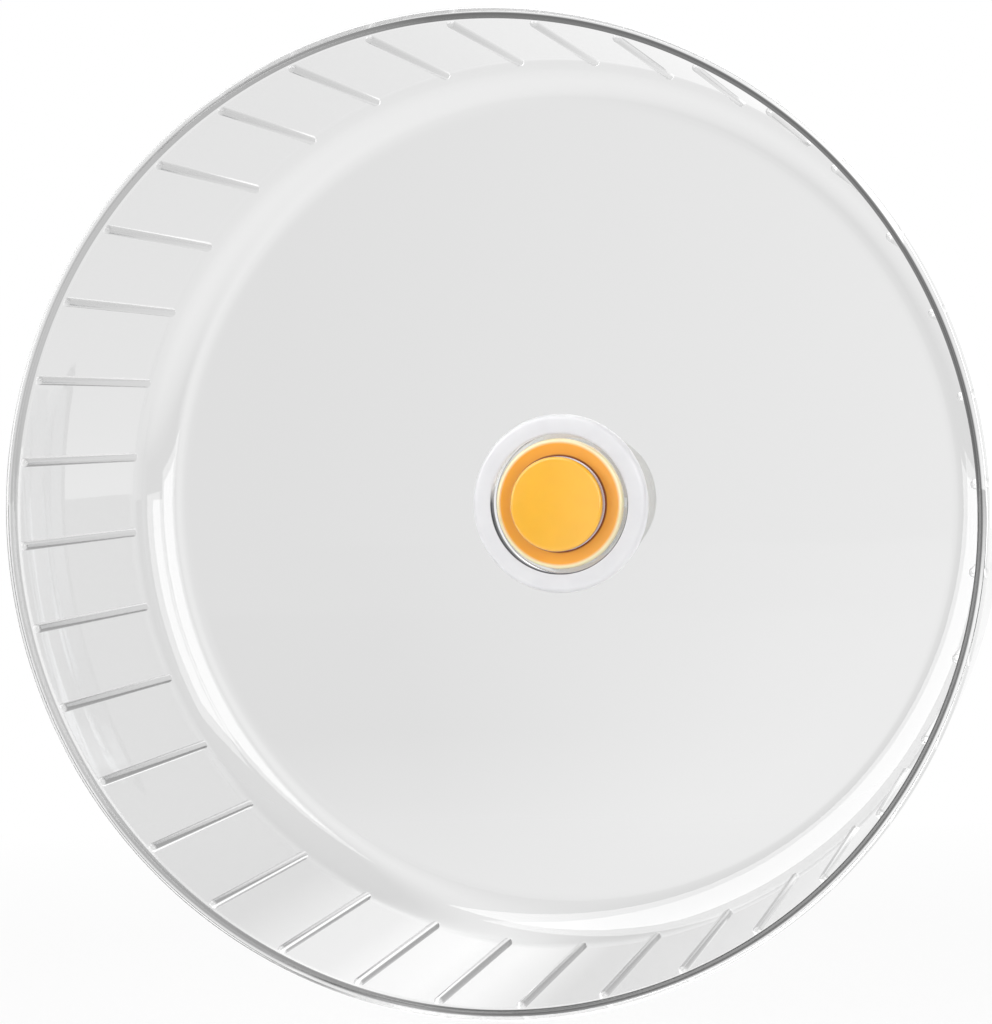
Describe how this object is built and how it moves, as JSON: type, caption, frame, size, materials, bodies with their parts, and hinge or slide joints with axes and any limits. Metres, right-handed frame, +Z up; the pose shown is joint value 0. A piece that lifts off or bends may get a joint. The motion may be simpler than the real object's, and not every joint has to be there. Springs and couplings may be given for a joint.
{
  "type": "hamster wheel",
  "caption": "Clear open-fronted running drum with ribbed band on an orange ball-bearing hub, held from behind by a padded cage-bar clamp with a wing nut.",
  "frame": {"origin": "on the wheel's axis, where the fixed flange's rubber pad meets the front of the cage bars", "axes": "+Y along the axle from the open mouth to the cage, +Z up, +X to the right as seen from in front of the mouth"},
  "size_m": [0.28, 0.151, 0.28],
  "materials": {
    "clear_plastic": "clear moulded, polished",
    "orange_plastic": "translucent orange moulded",
    "white_nylon": "natural white moulded",
    "grey_rubber": "soft pale grey pad",
    "bearing_steel": "ground",
    "ball_steel": "polished",
    "bright_steel": "bright zinc",
    "spring_steel": "dark spring steel",
    "cage_plastic": "moulded"
  },
  "bodies": {
    "cage_mount": {"axle": "bright_steel", "axle_clip": "spring_steel", "axle_washer": "bright_steel", "bearing_spacer": "bright_steel", "mount_flange": "white_nylon", "mount_pad": "grey_rubber", "front_bearing_inner_ring": "bearing_steel", "rear_bearing_inner_ring": "bearing_steel"},
    "wheel": {"drum": "clear_plastic", "hub_sleeve": "orange_plastic", "hub_cap": "orange_plastic", "hub_nut": "white_nylon", "snap_ring": "spring_steel", "front_bearing_outer_ring": "bearing_steel", "front_bearing_front_shield": "bright_steel", "front_bearing_back_shield": "bright_steel", "rear_bearing_outer_ring": "bearing_steel", "rear_bearing_front_shield": "bright_steel", "rear_bearing_back_shield": "bright_steel"},
    "front_ball_set": {"front_bearing_ball_cage": "cage_plastic", "front_bearing_ball_1": "ball_steel", "front_bearing_ball_2": "ball_steel", "front_bearing_ball_3": "ball_steel", "front_bearing_ball_4": "ball_steel", "front_bearing_ball_5": "ball_steel", "front_bearing_ball_6": "ball_steel", "front_bearing_ball_7": "ball_steel"},
    "rear_ball_set": {"rear_bearing_ball_cage": "cage_plastic", "rear_bearing_ball_1": "ball_steel", "rear_bearing_ball_2": "ball_steel", "rear_bearing_ball_3": "ball_steel", "rear_bearing_ball_4": "ball_steel", "rear_bearing_ball_5": "ball_steel", "rear_bearing_ball_6": "ball_steel", "rear_bearing_ball_7": "ball_steel"},
    "clamp": {"clamp_plate": "white_nylon", "clamp_pad": "grey_rubber", "clamp_washer": "bright_steel"},
    "wing_nut": {"wing_nut": "white_nylon"}
  },
  "joints": [
    {"name": "wheel_spin", "type": "hinge", "parent": "cage_mount", "child": "wheel", "pos_m": [0, -0.0299, 0], "axis": [0, 1, 0], "continuous": true},
    {"name": "front_ball_set_orbit", "type": "hinge", "parent": "cage_mount", "child": "front_ball_set", "pos_m": [0, -0.0277, 0], "axis": [0, 1, 0], "continuous": true},
    {"name": "rear_ball_set_orbit", "type": "hinge", "parent": "cage_mount", "child": "rear_ball_set", "pos_m": [0, -0.0151, 0], "axis": [0, 1, 0], "continuous": true},
    {"name": "clamp_slide", "type": "slide", "parent": "cage_mount", "child": "clamp", "axis": [0, 1, 0], "range_m": [-0.003, 0.008]},
    {"name": "wing_nut_turn", "type": "hinge", "parent": "clamp", "child": "wing_nut", "pos_m": [0, 0.0133, 0], "axis": [0, 1, 0], "range_deg": [-860, 2300]}
  ],
  "couplings": [
    {"joint": "front_ball_set_orbit", "follows": "wheel_spin", "ratio": 0.632},
    {"joint": "rear_ball_set_orbit", "follows": "wheel_spin", "ratio": 0.632},
    {"joint": "clamp_slide", "follows": "wing_nut_turn", "m_per_rad": 0.00019894}
  ]
}
